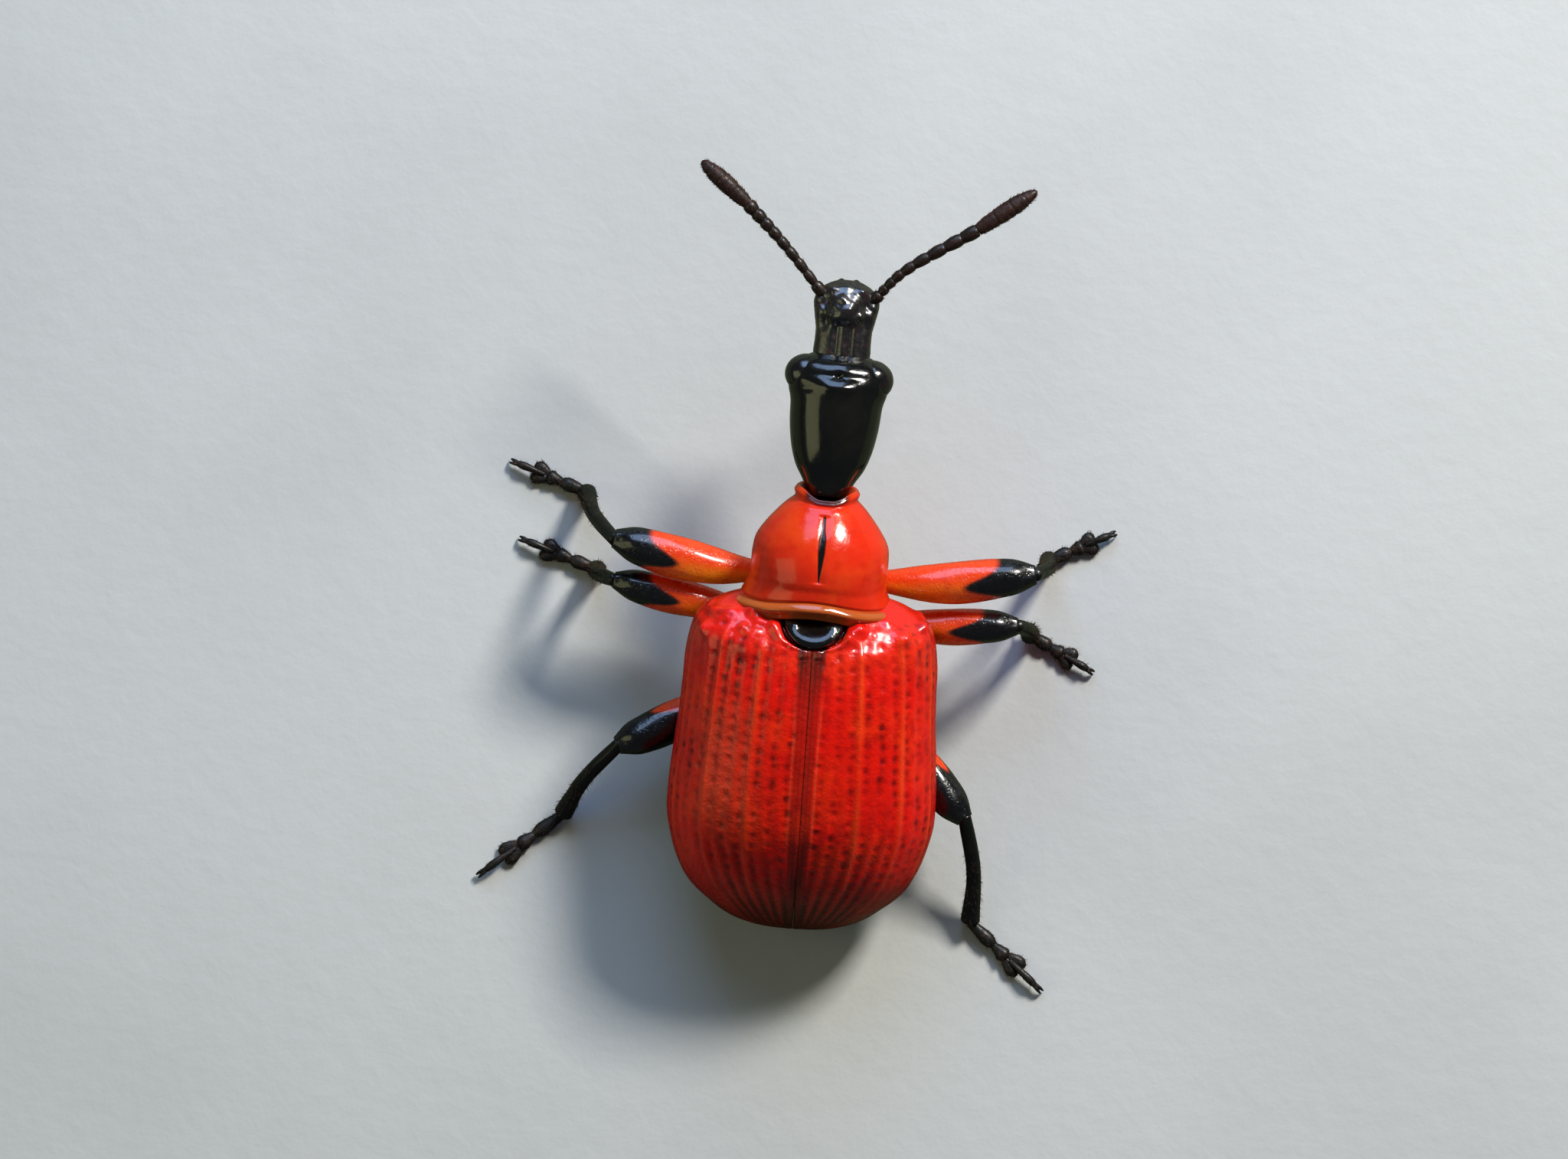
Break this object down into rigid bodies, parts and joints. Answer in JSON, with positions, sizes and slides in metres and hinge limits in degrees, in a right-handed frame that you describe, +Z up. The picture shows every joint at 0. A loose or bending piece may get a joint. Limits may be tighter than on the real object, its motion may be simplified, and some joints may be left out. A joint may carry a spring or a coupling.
{
  "type": "hazel leaf-roller weevil",
  "caption": "Life-size still model of a hazel leaf-roller weevil standing on spread legs, with ribbed red wing cases, a bell-shaped red pronotum and a long black head with clubbed feelers.",
  "frame": {"origin": "on the floor, under the middle of the whole beetle's box", "axes": "+Z up; the beetle faces -Y, with its left side at +X"},
  "size_m": [0.0083, 0.0106, 0.0033],
  "materials": {
    "red_wing_case": "bright red glossy wing case with rows of darker pits",
    "red_cuticle": "smooth glossy red cuticle with an orange-brown rear rim and a black line",
    "leg_cuticle": "glossy orange-red thigh with a black knee end",
    "black_cuticle": "very glossy black cuticle",
    "foot_cuticle": "black foot with short brown hairs under it",
    "antennal_club": "dark brown club with fine hairs",
    "eye": "polished black eye"
  },
  "bodies": {
    "root": {"head": "black_cuticle", "rostrum": "black_cuticle", "eye_left": "eye", "eye_right": "eye", "antenna_left": "black_cuticle", "antenna_right": "black_cuticle", "antenna_club_left": "antennal_club", "antenna_club_right": "antennal_club", "pronotum": "red_cuticle", "scutellum": "black_cuticle", "elytron_left": "red_wing_case", "elytron_right": "red_wing_case", "thorax": "black_cuticle", "abdomen": "black_cuticle", "leg_front_left_coxa": "leg_cuticle", "leg_front_left_femur": "leg_cuticle", "leg_front_left_tibia": "black_cuticle", "leg_front_left_tarsus": "foot_cuticle", "leg_front_right_coxa": "leg_cuticle", "leg_front_right_femur": "leg_cuticle", "leg_front_right_tibia": "black_cuticle", "leg_front_right_tarsus": "foot_cuticle", "leg_middle_left_coxa": "leg_cuticle", "leg_middle_left_femur": "leg_cuticle", "leg_middle_left_tibia": "black_cuticle", "leg_middle_left_tarsus": "foot_cuticle", "leg_middle_right_coxa": "leg_cuticle", "leg_middle_right_femur": "leg_cuticle", "leg_middle_right_tibia": "black_cuticle", "leg_middle_right_tarsus": "foot_cuticle", "leg_hind_left_coxa": "leg_cuticle", "leg_hind_left_femur": "leg_cuticle", "leg_hind_left_tibia": "black_cuticle", "leg_hind_left_tarsus": "foot_cuticle", "leg_hind_right_coxa": "leg_cuticle", "leg_hind_right_femur": "leg_cuticle", "leg_hind_right_tibia": "black_cuticle", "leg_hind_right_tarsus": "foot_cuticle"}
  },
  "joints": []
}
